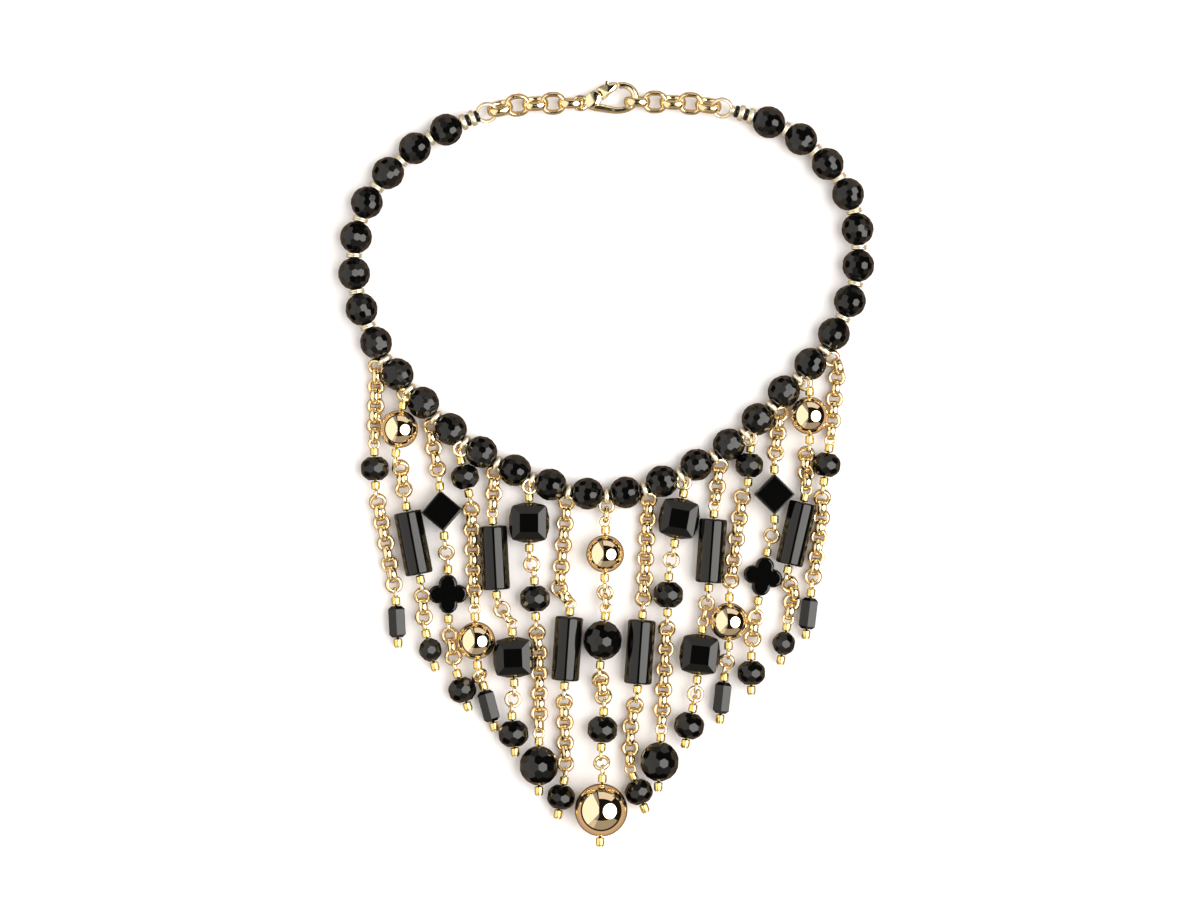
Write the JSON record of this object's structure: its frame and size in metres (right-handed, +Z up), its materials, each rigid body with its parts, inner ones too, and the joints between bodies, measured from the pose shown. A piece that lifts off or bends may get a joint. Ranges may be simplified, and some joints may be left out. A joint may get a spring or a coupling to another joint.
{
  "type": "bib necklace",
  "caption": "Bib necklace: a loop of round black beads with a claw clasp and a fringe of chain drops with black stones and gold balls.",
  "frame": {"origin": "middle of the necklace's box seen from above, on the surface that it lies on", "axes": "+Z up from the surface, +Y from the longest drop towards the clasp, +X to the right seen from above"},
  "size_m": [0.1684, 0.2398, 0.0163],
  "materials": {
    "black_stone": "opaque black stone or glass, cut and polished",
    "gold_plate": "polished gold plating on brass"
  },
  "bodies": {
    "necklace": {"neck_string_left": "black_stone", "neck_string_right": "black_stone", "closure_chain_left": "gold_plate", "closure_chain_right": "gold_plate", "clasp_claw": "gold_plate", "drop_chain_01": "gold_plate", "drop_chain_02": "gold_plate", "drop_chain_03": "gold_plate", "drop_chain_04": "gold_plate", "drop_chain_05": "gold_plate", "drop_chain_06": "gold_plate", "drop_chain_07": "gold_plate", "drop_chain_08": "gold_plate", "drop_chain_09": "gold_plate", "drop_chain_10": "gold_plate", "drop_chain_11": "gold_plate", "drop_chain_12": "gold_plate", "drop_chain_13": "gold_plate", "drop_chain_14": "gold_plate", "drop_chain_15": "gold_plate", "rondelle_small_01_1": "black_stone", "gold_ball_02_1": "gold_plate", "tube_02_2": "black_stone", "small_ball_02_3": "black_stone", "cube_03_1": "black_stone", "clover_03_2": "black_stone", "rondelle_small_03_3": "black_stone", "rondelle_small_04_1": "black_stone", "gold_ball_04_2": "gold_plate", "tube_05_1": "black_stone", "cushion_05_2": "black_stone", "rondelle_large_05_3": "black_stone", "cushion_06_1": "black_stone", "rondelle_large_06_2": "black_stone", "black_ball_06_3": "black_stone", "tube_07_1": "black_stone", "rondelle_small_07_2": "black_stone", "gold_ball_08_1": "gold_plate", "black_ball_08_2": "black_stone", "rondelle_large_08_3": "black_stone", "big_ball_08_4": "gold_plate", "tube_09_1": "black_stone", "rondelle_small_09_2": "black_stone", "cushion_10_1": "black_stone", "rondelle_large_10_2": "black_stone", "black_ball_10_3": "black_stone", "tube_11_1": "black_stone", "cushion_11_2": "black_stone", "rondelle_large_11_3": "black_stone", "rondelle_small_12_1": "black_stone", "gold_ball_12_2": "gold_plate", "cube_13_1": "black_stone", "clover_13_2": "black_stone", "rondelle_small_13_3": "black_stone", "gold_ball_14_1": "gold_plate", "tube_14_2": "black_stone", "small_ball_14_3": "black_stone", "rondelle_small_15_1": "black_stone"},
    "clasp_lever": {"clasp_lever": "gold_plate"}
  },
  "joints": [
    {"name": "lever_pivot", "type": "hinge", "parent": "necklace", "child": "clasp_lever", "pos_m": [-0.00417, 0.11458, 0.00372], "axis": [0, 0, 1], "range_deg": [-25, 0], "stiffness_Nm_per_rad": 0.002, "springref_deg": 17.19}
  ]
}
